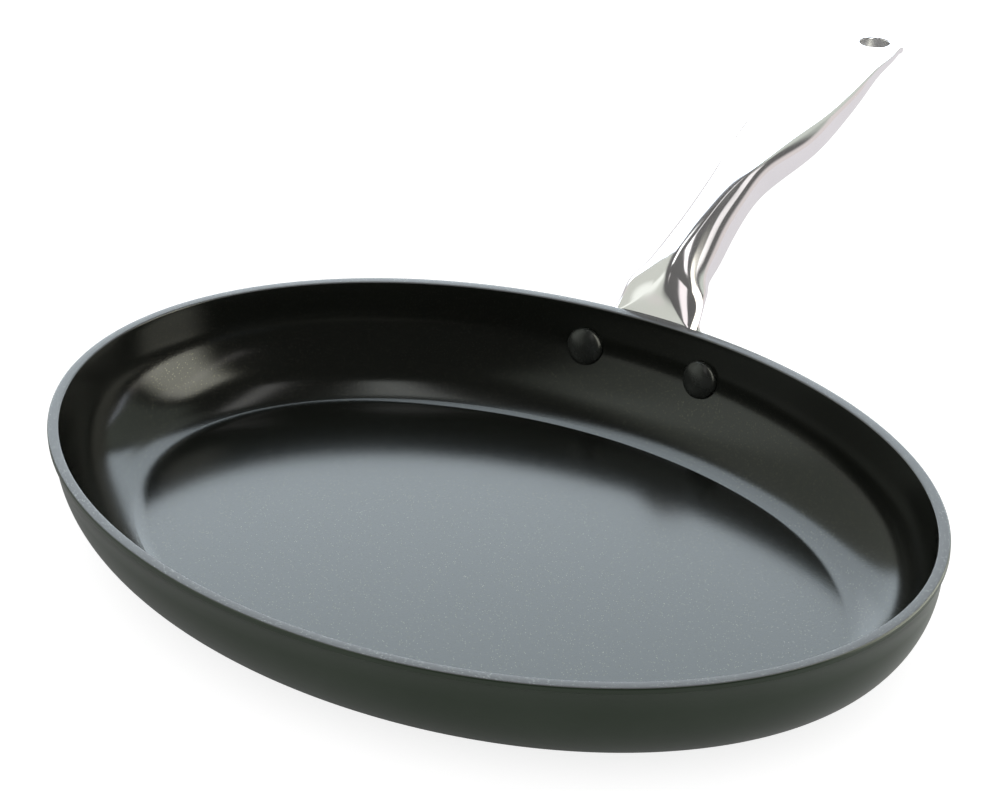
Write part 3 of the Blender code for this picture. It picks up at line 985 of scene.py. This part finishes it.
@dataclass
class Handle:
    """The cast handle: a flange behind the wall, a waisted neck and a grip with a hanging hole."""

    body: PanBody
    length: float = 0.2120
    rise: float = 0.0500
    depth: float = 0.0220
    grip: float = 0.0356
    flange: float = 0.0040
    flange_margin: float = 0.0040
    flange_foot: float = 0.0065
    shoulder_drop: float = 0.0045
    flange_edge: float = 0.0008
    hole: float = 0.0140
    hole_edge: float = 0.0003
    hole_edge_angles: tuple[float, ...] = (0, 15, 30, 45, 60)
    hole_flare: float = 1.2
    hole_sides: int = 72
    tip: float = 0.0130
    tip_edge: float = 0.0022
    rivet_spacing: float = 0.0535
    rivet_drop: float = 0.0177
    tail: float = 0.0110
    crest_steps: int = 9
    corner_steps: int = 6
    flank_steps: int = 10
    keel_steps: int = 22
    cut_step: float = 0.0012
    sharp_angle: float = 42.0
    # where the flank turns, as a share of the widest place's depth, most of a side that a rounded
    # corner takes, and fullness of the under side
    flank_turn: float = 0.3
    corner_share: float = 0.6
    keel_power: float = 2.2
    # degrees round the rounded end, from the hole to the tip
    tip_angles: tuple[float, ...] = (8, 16, 24, 32, 40, 48, 55, 62, 68, 73, 77, 80)
    # place, narrowing, swelling and keel of the flange's levels, from its foot to its shoulder
    levels: tuple[tuple[float, ...], ...] = (
        (-1.0, 0.33, 0.03, 5.0), (-0.8, 0.13, 0.05, 5.0), (-0.5, 0.03, 0.10, 4.8),
        (0.0, 0.00, 0.55, 4.2), (0.5, 0.10, 1.50, 3.2), (1.0, 0.38, 2.90, 2.2))
    # out, up, tilt, half, depth, widest, keel, crest, edge and bow, from the rim to the hole
    sections: tuple[tuple[float, ...], ...] = (
        (0.0020, -0.024, 82, 1.084, 0.750, 0.30, 1.50, 0.830, 0.104, 0.004),
        (0.0145, 0.090, 71, 1.034, 0.864, 0.33, 1.10, 0.462, 0.136, 0.015),
        (0.0320, 0.240, 60, 0.966, 1.000, 0.40, 0.75, 0.209, 0.145, 0.030),
        (0.075, 0.384, 36, 0.787, 0.964, 0.50, 0.56, 0.171, 0.143, 0.029),
        (0.137, 0.500, 22, 0.713, 0.973, 0.56, 0.50, 0.244, 0.118, 0.031),
        (0.208, 0.612, 17, 0.640, 0.909, 0.60, 0.46, 0.351, 0.132, 0.035),
        (0.294, 0.722, 14, 0.618, 0.782, 0.60, 0.45, 0.500, 0.145, 0.055),
        (0.390, 0.808, 10, 0.691, 0.755, 0.60, 0.43, 0.740, 0.146, 0.073),
        (0.515, 0.876, 7, 0.938, 0.741, 0.58, 0.43, 0.743, 0.120, 0.072),
        (0.628, 0.918, 6, 1.000, 0.655, 0.55, 0.43, 0.865, 0.112, 0.079),
        (0.749, 0.972, 4, 0.994, 0.482, 0.50, 0.43, 0.893, 0.113, 0.073),
        (0.857, 0.994, -1, 0.871, 0.350, 0.50, 0.43, 0.948, 0.116, 0.071),
        (0.945, 0.968, -5, 0.775, 0.236, 0.50, 0.43, 0.957, 0.101, 0.058),
        (1.000, 0.970, -6, 0.708, 0.200, 0.50, 0.43, 0.968, 0.095, 0.048))

    def wall_bow(self, across: float, height: float) -> float:
        """How far the wall falls back from its middle.

        Args:
            across: place across the handle.
            height: height on the wall.

        Returns:
            The distance along Y.
        """
        inset = self.body.wall_inset(min(height, self.body.height))
        half_length, half_width = self.body.length / 2 - inset, self.body.width / 2 - inset
        return half_width * (1 - math.sqrt(max(0.0, 1 - (across / half_length) ** 2)))

    def outline(self, cut: Cut) -> Places:
        """Right half of a cut.

        Args:
            cut: the cross-section.

        Returns:
            Places across and down, from its crest to its keel.
        """
        shares = np.arange(self.crest_steps) / self.crest_steps
        places = [(cut.crest * s, -cut.bow * (1 - s * s)) for s in shares]
        corner = np.array((cut.crest, 0.0))
        low = cut.widest * cut.depth
        side, widest = np.array((cut.half, self.flank_turn * low)), np.array((cut.half, low))
        back, down = np.array(places[-1]) - corner, side - corner
        back_length, down_length = np.linalg.norm(back), np.linalg.norm(down)
        soft = min(cut.edge, self.corner_share * back_length, self.corner_share * down_length)
        start = corner + back / back_length * soft
        end = corner + down / down_length * soft
        places += bent(start, corner, end, np.linspace(0, 1, self.corner_steps + 1))
        used = soft / (2 * down_length)
        places += bent(corner, side, widest, np.linspace(used, 1, self.flank_steps + 1)[1:])
        for angle in np.linspace(0, math.pi / 2, self.keel_steps + 1)[1:]:
            across = max(0.0, math.cos(angle))
            fullness = max(0.0, 1 - across ** self.keel_power) ** cut.keel
            places.append((cut.half * across, low + (cut.depth - low) * fullness))
        return places

    def ring(self, cut: Cut) -> np.ndarray:
        """Closed ring of points of a cut, with its back bowed along the oval wall.

        Args:
            cut: the cross-section.

        Returns:
            One row for each point.
        """
        right = []
        for across, down in self.outline(cut):
            height = cut.middle[2] - math.cos(cut.tilt) * down
            back = self.wall_bow(across, height) * math.sin(cut.tilt) ** 2
            right.append((across, cut.middle[1] + math.sin(cut.tilt) * down - back, height))
        left = [(-x, y, z) for x, y, z in right[-2:0:-1]]
        return np.array(right + left)

    def level_height(self, place: float) -> float:
        """Height of a place on the flange.

        Args:
            place: -1 at its foot, 0 at the rivets and 1 at its shoulder.

        Returns:
            The height.
        """
        rivets = self.body.height - self.rivet_drop
        foot, shoulder = self.tail / 2 + self.flange_foot, self.rivet_drop - self.shoulder_drop
        return rivets + place * (foot if place < 0 else shoulder)

    def flange_cuts(self) -> list[Cut]:
        """Level cuts of the flange.

        Returns:
            The cuts from its foot to its shoulder.
        """
        heights = np.array([self.level_height(level[0]) for level in self.levels])
        rows = np.array(self.levels)
        count = math.ceil((heights[-1] - heights[0]) / self.cut_step)
        wanted = np.linspace(heights[0], heights[-1], count + 1)
        slope = (rows[1] - rows[0]) / (heights[1] - heights[0])
        widest = (self.rivet_spacing + self.tail) / 2 + self.flange_margin
        cuts = []
        for height, level in zip(wanted, smooth_rows(heights, rows, slope, wanted)):
            place, narrowing, swelling, keel = level
            half = widest * (1 - narrowing)
            relief = self.body.overhang * max(0.0, place) ** 4
            depth = self.flange * (1 + swelling) - relief
            off = self.body.gap / math.cos(self.body.wall_angle(height)) + relief
            middle = (0.0, self.body.width / 2 - self.body.wall_inset(height) + off, height)
            cuts.append(Cut(middle, math.pi / 2, half, depth, self.flange / depth, keel,
                            half - self.flange_edge, self.flange_edge, 0.0))
        return cuts

    def real_cut(self, section: Sequence[float]) -> Cut:
        """Section at its real size.

        Args:
            section: the section in shares of the handle's sizes.

        Returns:
            The cut in metres.
        """
        out, up, tilt, half, depth, widest, keel, crest, edge, bow = section
        reach, wide = self.length - self.tip, half * self.grip / 2
        middle = (0.0, self.body.width / 2 + out * reach, self.body.height + up * self.rise)
        return Cut(middle, math.radians(tilt), wide, depth * self.depth, widest, keel,
                   crest * wide, edge * wide, bow * wide)

    def grip_cuts(self, flange: list[Cut]) -> list[Cut]:
        """Cuts from the shoulder of the flange to the hanging hole.

        Args:
            flange: the cuts below the shoulder, which set the slope there.

        Returns:
            The cuts after the shoulder.
        """
        last, before = np.array(flange[-1].row()), np.array(flange[-2].row())
        rows = np.array([last] + [self.real_cut(section).row() for section in self.sections])
        places = np.arange(len(rows), dtype=float)
        climb = np.linalg.norm(rows[1][:3] - rows[0][:3]) / np.linalg.norm(last[:3] - before[:3])
        gaps = np.linalg.norm(np.diff(rows[:, :3], axis=0), axis=1)
        wanted = []
        for index, distance in enumerate(gaps):
            steps = max(3, math.ceil(distance / self.cut_step))
            wanted += [index + (step + 1) / steps for step in range(steps)]
        smoothed = smooth_rows(places, rows, (last - before) * climb, np.array(wanted))
        return [Cut.from_row(row) for row in smoothed]

    def tip_cuts(self, last: Cut) -> list[Cut]:
        """Cuts of the rounded end beyond the hole.

        Args:
            last: the cut at the hole.

        Returns:
            The cuts out to the tip.
        """
        flat, climb = math.cos(last.tilt), math.sin(last.tilt)
        cuts = []
        for angle in np.radians(self.tip_angles):
            reach, half = math.sin(angle), self.tip * math.cos(angle)
            thin = 1 - (1 - self.tip_edge / last.depth) * reach ** 4
            out, low = self.tip * reach, last.depth * (1 - thin) / 2
            middle = (0.0, last.middle[1] + flat * out + climb * low,
                      last.middle[2] + climb * out - flat * low)
            crest, bow = half * last.crest / last.half, half * last.bow / last.half
            cuts.append(replace(last, middle=middle, half=half, depth=last.depth * thin,
                                crest=crest, bow=bow))
        return cuts

    def build(self, finish: bpy.types.Material, bored: bpy.types.Material) -> bpy.types.Object:
        """Make the handle with its hanging hole.

        Args:
            finish: material of the casting.
            bored: material of the hole's wall.

        Returns:
            The handle without its rivet holes.
        """
        flange = self.flange_cuts()
        last = self.real_cut(self.sections[-1])
        cuts = flange + self.grip_cuts(flange) + self.tip_cuts(last)
        skin = Skin.from_rings([self.ring(cut) for cut in cuts])
        made = skin.to_object("handle_casting", [finish, bored])
        down = Vector((0, math.sin(last.tilt), -math.cos(last.tilt)))
        centre = Vector(last.middle) + down * last.depth / 2
        drill(made, [self.hole_cutter(centre, down, last.depth, [finish, bored])])
        return made

    def hole_cutter(self, centre: Vector, axis: Vector, thickness: float,
                    materials: Sequence[bpy.types.Material]) -> bpy.types.Object:
        """Cutter of the hanging hole, which rounds its two edges.

        Args:
            centre: middle of the hole.
            axis: direction of the hole.
            thickness: how thick the handle is there.
            materials: finishes of the casting and of the hole's wall.

        Returns:
            The cutter.
        """
        radius, soft = self.hole / 2, self.hole_edge
        half = []
        for angle in np.radians(self.hole_edge_angles):
            half.append((radius + soft * (1 - math.cos(angle)),
                         thickness / 2 - soft + soft * math.sin(angle)))
        half.append((radius + self.hole_flare * soft, thickness))
        profile = [(r, -z) for r, z in reversed(half)] + half
        bands = [int(band == len(half) - 1) for band in range(len(profile) - 1)]
        return turned("hole_cutter", profile, centre, axis, self.hole_sides, materials, bands)


@dataclass
class Rivet:
    """One rivet: a coated dome inside the pan, a shank and a low tail on the flange."""

    handle: Handle
    side: int
    shank: float = 0.0048
    head: float = 0.0155
    head_height: float = 0.0042
    tail_height: float = 0.0024
    edge: float = 0.0006
    seat_gap: float = 0.00005
    sides: int = 64
    dome_steps: int = 14
    sharp_angle: float = 50.0
    # shares of the edge that its foot rises and steps in
    foot_rise: float = 0.25
    foot_inset: float = 0.3
    # how far off a surface is looked for, and how far the drill goes each way
    probe: float = 0.03
    drill_reach: float = 0.02
    drill_sides: int = 48

    def frame(self) -> tuple[Vector, Vector]:
        """Where the rivet sits.

        Returns:
            Point on the cooking side of the wall, and the direction out through the wall.
        """
        body = self.handle.body
        height = body.height - self.handle.rivet_drop
        inset, lean = body.wall_inset(height, body.wall), body.wall_angle(height, body.wall)
        angle = math.acos(self.side * self.handle.rivet_spacing / 2 / (body.length / 2 - inset))
        level = Vector((body.width * math.cos(angle), body.length * math.sin(angle), 0))
        outward = level.normalized() * math.cos(lean) - Vector((0, 0, math.sin(lean)))
        return Vector(body.points(np.array([angle]), inset, height)[0]), outward

    def end_rings(self, seat: BVHTree, push: Vector, diameter: float,
                  height: float) -> list[np.ndarray]:
        """Rings of a domed end that is seated on a surface.

        Args:
            seat: the surface.
            push: direction in which the end presses on it.
            diameter: its diameter.
            height: its height.

        Returns:
            The rings from the middle of the dome to the shank.
        """
        origin, outward = self.frame()
        across = outward.cross(Vector((0, 0, 1))).normalized()
        upward = across.cross(outward)

        def ring(radius: float, rise: float, count: int = self.sides) -> np.ndarray:
            """One ring over the surface.

            Args:
                radius: radius of the ring.
                rise: its height over the surface.
                count: number of its points.

            Returns:
                One row for each point.
            """
            points = []
            for step in range(count):
                angle = 2 * math.pi * step / self.sides
                beside = origin + (across * math.cos(angle) + upward * math.sin(angle)) * radius
                hit = seat.ray_cast(beside - push * self.probe, push)[0] or beside
                points.append(tuple(hit - push * (self.seat_gap + rise)))
            return np.array(points)

        rings = [ring(0.0, height, 1)]
        for angle in np.linspace(0, math.pi / 2, self.dome_steps + 1)[1:-1]:
            rise = self.edge + (height - self.edge) * math.cos(angle)
            rings.append(ring(diameter / 2 * math.sin(angle), rise))
        return rings + [
            ring(diameter / 2, self.edge),
            ring(diameter / 2, self.edge * self.foot_rise),
            ring(diameter / 2 - self.edge * self.foot_inset, 0.0),
            ring(self.shank / 2, 0.0),
        ]

    def build(self, name: str, wall: BVHTree, flange: BVHTree, coat: bpy.types.Material,
              bare: bpy.types.Material) -> bpy.types.Object:
        """Make the rivet.

        Args:
            name: the piece's name.
            wall: surface of the body.
            flange: surface of the handle.
            coat: finish of the head.
            bare: finish of the shank and tail.

        Returns:
            The rivet.
        """
        outward = self.frame()[1]
        head = self.end_rings(wall, outward, self.head, self.head_height)
        tail = self.end_rings(flange, -outward, self.handle.tail, self.tail_height)
        rings = head + tail[::-1]
        bands = [int(band >= len(head) - 1) for band in range(len(rings) - 1)]
        made = Skin.from_rings(rings, bands).to_object(name, [coat, bare])
        shade(made, self.sharp_angle)
        return made

    def hole_cutter(self) -> bpy.types.Object:
        """Cutter of the hole that the shank passes through.

        Returns:
            The cutter.
        """
        origin, outward = self.frame()
        radius = self.shank / 2 + self.handle.body.gap
        profile = [(radius, -self.drill_reach), (radius, self.drill_reach)]
        return turned(f"rivet_cutter_{self.side}", profile, origin, outward, self.drill_sides)


def surface_of(thing: bpy.types.Object) -> BVHTree:
    """Make the search tree of a surface.

    Args:
        thing: object that has the surface.

    Returns:
        The search tree.
    """
    mesh = thing.data
    corners = [tuple(polygon.vertices) for polygon in mesh.polygons]
    return BVHTree.FromPolygons([vertex.co for vertex in mesh.vertices], corners)


# The studio


def facing(azimuth: float, elevation: float) -> tuple[Vector, Vector, Vector]:
    """Directions of a screen that stands square to a line of sight.

    Args:
        azimuth: degrees of the line from +Y towards +X.
        elevation: degrees of the line above the horizon.

    Returns:
        The direction to the right on the screen, the line of sight, and the direction up.
    """
    turn, climb = math.radians(azimuth), math.radians(elevation)
    level = Vector((math.sin(turn), math.cos(turn), 0.0))
    ahead = level * math.cos(climb) + Vector((0.0, 0.0, math.sin(climb)))
    right = Vector((math.cos(turn), -math.sin(turn), 0.0))
    return right, ahead, right.cross(ahead)


@dataclass(frozen=True)
class Panel:
    """A flat light or screen far away, as reflections see it.

    It faces the pan from an azimuth, counted from +Y towards +X, and an elevation. Its four edges
    lie at angles from that direction, and blur softens them. All angles are in degrees.
    """

    azimuth: float
    elevation: float
    left: float
    right: float
    bottom: float
    top: float
    colour: Colour
    blur: float = 3.0
    # least share of a reflection's direction that runs towards the panel
    least_depth: ClassVar[float] = 0.02

    def mask(self, board: Board, direction: Signal) -> Signal:
        """Where the panel stands.

        Args:
            board: the world's nodes.
            direction: direction that a reflection looks in.

        Returns:
            One on the panel and zero around it.
        """
        right, ahead, above = facing(self.azimuth, self.elevation)
        depth = board.along(direction, ahead)
        mask = depth > self.least_depth
        for axis, low, high in ((right, self.left, self.right), (above, self.bottom, self.top)):
            degrees = [edge + way * self.blur for edge in (low, high) for way in (-1, 1)]
            spans = np.tan(np.radians(degrees)).tolist()
            place = board.along(direction, axis) / depth.largest(self.least_depth)
            mask = mask * place.rise(*spans[:2]) * (1 - place.rise(*spans[2:]))
        return mask


@dataclass(frozen=True)
class Card:
    """A light card near the pan that only reflections see.

    It faces an azimuth, counted from +Y towards +X, and an elevation, both in degrees, and is soft
    at its edges.
    """

    middle: tuple[float, float, float]
    azimuth: float
    elevation: float
    width: float
    height: float
    soft: float
    colour: Colour

    def material(self) -> bpy.types.Material:
        """Build the card's light, which is added to what is behind it.

        Returns:
            The material.
        """
        made, board = new_material("light_card")
        parts = board.node("ShaderNodeSeparateXYZ", {}, {0: board.place()})
        strength: Any = 1.0
        for name, half in (("X", self.width / 2), ("Z", self.height / 2)):
            away = abs(Signal(board, parts.outputs[name]))
            strength = (1 - away.rise(half - self.soft, half + self.soft)) * strength
        board.glowing(board.node("ShaderNodeBsdfTransparent"), self.colour, strength)
        made.cycles.emission_sampling = "NONE"
        return made

    def build(self) -> bpy.types.Object:
        """Make the card.

        Returns:
            The card, which only reflections see.
        """
        wide, tall = self.width / 2 + self.soft, self.height / 2 + self.soft
        corners = [(-wide, 0, -tall), (wide, 0, -tall), (wide, 0, tall), (-wide, 0, tall)]
        mesh = bpy.data.meshes.new("light_card")
        mesh.from_pydata(corners, [], [(0, 1, 2, 3)])
        mesh.materials.append(self.material())
        card = bpy.data.objects.new("light_card", mesh)
        turn = Matrix(facing(self.azimuth, self.elevation)).transposed().to_4x4()
        card.matrix_world = Matrix.Translation(self.middle) @ turn
        bpy.context.scene.collection.objects.link(card)
        for kind in ("camera", "diffuse", "transmission", "volume_scatter", "shadow"):
            setattr(card, "visible_" + kind, False)
        return card


@dataclass
class Studio:
    """Plain pale floor, soft even light and what reflections see of the room."""

    plain_light: float = 1.0
    room: Colour = (0.055, 0.058, 0.050)
    floor_colour: Colour = (0.42, 0.42, 0.42)
    floor_glow: float = 0.80
    floor_bounce: float = 0.45
    floor_mirrored: float = 0.35
    front_mirrored: float = 0.09
    # direction to the back of the floor, and the span over which front turns into back
    back: Colour = (0.6, 0.8, 0.0)
    back_span: tuple[float, float] = (-0.05, 0.2)
    floor_radius: float = 4.0
    floor_drop: float = 0.0002
    floor_sides: int = 96
    panels: tuple[Panel, ...] = (
        Panel(33, 0, -21, 15, -20, 58, (0.58, 0.65, 0.56), 6),
        Panel(-120, 0, -42, 46, -20, 61, (0.63, 0.68, 0.59), 8),
        Panel(-120, 0, -42, 46, -20, 10, (0.68, 0.70, 0.63), 5),
        Panel(-132, 0, -13, 12, 2, 56, (1.04, 1.12, 1.00), 8),
        Panel(50, 0, -26, 26, -40, 13, (0.74, 0.70, 0.66), 6),
        Panel(-50, 0, -25, 59.5, -25, 63.4, (3.20, 3.66, 3.93), 2.5),
        Panel(-40, 0, -20, 20, -25, 34.8, (3.76, 4.25, 4.58), 2.5),
        Panel(13, 0, -9, 12, 36, 62, (0.64, 0.71, 0.62), 5),
        Panel(-33.5, 90, -9.7, -4.0, -17.7, 5.7, (2.3, 2.4, 2.3), 1.2),
        Panel(-33.5, 90, 9.4, 15.0, -18.0, 10.0, (1.9, 1.9, 1.85), 1.2),
        Panel(60.5, 40, -2.0, 4.0, -8, 9, (1.1, 1.1, 1.05), 1.5),
    )
    cards: tuple[Card, ...] = (
        Card((0.273, 0.121, 0.250), -103, 0, 0.24, 0.70, 0.055, (4.1, 4.1, 3.5)),
        Card((0.0325, 0.035, 0.154), 4.1, -51.2, 0.032, 0.140, 0.003, (1.10, 1.06, 1.03)),
    )

    def world(self) -> None:
        """Light the scene evenly, and give reflections the room with its screens."""
        world = bpy.data.worlds.new("studio")
        bpy.context.scene.world = world
        world.use_nodes = True
        board = Board(world.node_tree)
        direction = board.signal("ShaderNodeTexCoord", output="Generated")
        seen: Any = self.room
        for panel in self.panels:
            seen = board.blend(panel.mask(board, direction), seen, panel.colour)
        camera, mirrored = self.ray_kinds(board)
        light = board.blend(mirrored, (self.plain_light,) * 3, seen)
        colour = board.blend(camera, light, WHITE)
        shader = board.node("ShaderNodeBackground", {}, {"Color": colour, "Strength": 1.0})
        board.node("ShaderNodeOutputWorld", {}, {"Surface": shader.outputs[0]})
        world.cycles.sampling_method = "NONE"

    @staticmethod
    def ray_kinds(board: Board) -> tuple[Signal, Signal]:
        """Masks of kinds of rays.

        Args:
            board: nodes of a material or of the world.

        Returns:
            Rays from the camera, and rays that a surface mirrors or lets through.
        """
        path = board.node("ShaderNodeLightPath")
        camera, glossy, through = (Signal(board, path.outputs[f"Is {kind} Ray"])
                                   for kind in ("Camera", "Glossy", "Transmission"))
        return camera, glossy.largest(through)

    def floor(self) -> bpy.types.Object:
        """Make the pale floor, which keeps the pan's shadow.

        Returns:
            The floor.
        """
        made, board = new_material("studio_floor")
        matt = board.node("ShaderNodeBsdfDiffuse", {}, {"Color": self.floor_colour})
        camera, mirrored = self.ray_kinds(board)
        behind = board.along(board.place(), self.back).rise(*self.back_span)
        seen = behind * (self.floor_mirrored - self.front_mirrored) + self.front_mirrored
        strength = (camera * self.floor_glow + mirrored * seen
                    + (1 - camera.largest(mirrored)) * self.floor_bounce)
        board.glowing(matt, WHITE, strength)
        made.cycles.emission_sampling = "NONE"
        angles = np.arange(self.floor_sides) * 2 * math.pi / self.floor_sides
        ring = np.stack([np.cos(angles), np.sin(angles), 0 * angles], axis=1) * self.floor_radius
        middle = np.array([(0.0, 0.0, -self.floor_drop)])
        skin = Skin.from_rings([middle, ring + middle], capped=False)
        thing = skin.to_object("studio_floor", [made])
        return thing

    def build(self) -> None:
        """Make the light, the floor and the cards."""
        self.world()
        self.floor()
        for card in self.cards:
            card.build()


@dataclass
class View:
    """The camera at the photograph's viewing angle."""

    azimuth: float = 0.587094760
    elevation: float = 0.525366020
    roll: float = -0.0209470889
    distance: float = 0.972542
    slide: tuple[float, float] = (0.006526478, 0.063435029)
    lens: float = 92.30528
    sensor: float = 36.0
    reach: tuple[float, float] = (0.01, 50.0)

    def build(self) -> bpy.types.Object:
        """Make the camera and look through it.

        Returns:
            The camera.
        """
        flat, rise = math.cos(self.elevation), math.sin(self.elevation)
        back = Vector((math.sin(self.azimuth) * flat, -math.cos(self.azimuth) * flat, rise))
        level = Vector((math.cos(self.azimuth), math.sin(self.azimuth), 0.0))
        upright = back.cross(level)
        right = level * math.cos(self.roll) + upright * math.sin(self.roll)
        above = upright * math.cos(self.roll) - level * math.sin(self.roll)
        data = bpy.data.cameras.new("camera")
        data.lens, data.sensor_width, data.sensor_fit = self.lens, self.sensor, "HORIZONTAL"
        data.clip_start, data.clip_end = self.reach
        camera = bpy.data.objects.new("camera", data)
        turn = Matrix((right, above, back)).transposed().to_4x4()
        place = back * self.distance + right * self.slide[0] + above * self.slide[1]
        camera.matrix_world = Matrix.Translation(place) @ turn
        bpy.context.scene.collection.objects.link(camera)
        bpy.context.scene.camera = camera
        return camera


# The whole pan


class Part(Enum):
    """Visible pieces, each with the CAD node that it stands for and its slot in the record."""

    BODY = ("pan_body", "coated_body")
    PLATE = ("base_plate", "base_steel")
    HANDLE = ("handle", "handle_steel")
    LEFT_RIVET = ("rivet_left", "rivet_coat")
    RIGHT_RIVET = ("rivet_right", "rivet_coat")


def install(piece: bpy.types.Object, part: Part) -> None:
    """Let a piece ride on the pan in the place of its CAD node.

    Args:
        piece: the visible piece.
        part: what it is.
    """
    node, slot = part.value
    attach(piece, "root")
    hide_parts(node)
    LOG.info("%s stands for %s: %d faces", piece.name, node, len(piece.data.polygons))


def main() -> None:
    """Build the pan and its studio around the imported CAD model."""
    logging.basicConfig(level=logging.INFO, format="%(name)s: %(message)s")
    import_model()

    coating = CeramicCoating().material()
    rim = RimCoating().material()
    anodised = AnodisedAluminium().material()
    polished = PolishedSteel().material()
    bored = BoredSteel().material()
    brushed = BrushedSteel().material()
    rivet_coat = RivetCoat().material()

    body = PanBody()
    shell = body.build({Zone.COATED: coating, Zone.ANODISED: anodised, Zone.RIM: rim})
    base = BasePlate(body)
    plate = base.build(brushed)
    handle = Handle(body)
    casting = handle.build(polished, bored)
    wall, flange = surface_of(shell), surface_of(casting)
    rivets = {Part.LEFT_RIVET: Rivet(handle, -1), Part.RIGHT_RIVET: Rivet(handle, 1)}
    pieces = {Part.BODY: shell, Part.PLATE: plate, Part.HANDLE: casting}
    for part, rivet in rivets.items():
        name = part.value[0] + "_head"
        pieces[part] = rivet.build(name, wall, flange, rivet_coat, brushed)
    for pierced in (shell, casting):
        drill(pierced, [rivet.hole_cutter() for rivet in rivets.values()])
    shade(shell, body.sharp_angle)
    shade(plate, base.sharp_angle)
    shade(casting, handle.sharp_angle)
    for part, piece in pieces.items():
        install(piece, part)

    Studio().build()
    View().build()
    bpy.context.scene.view_settings.view_transform = "Standard"


if __name__ == "__main__":
    main()
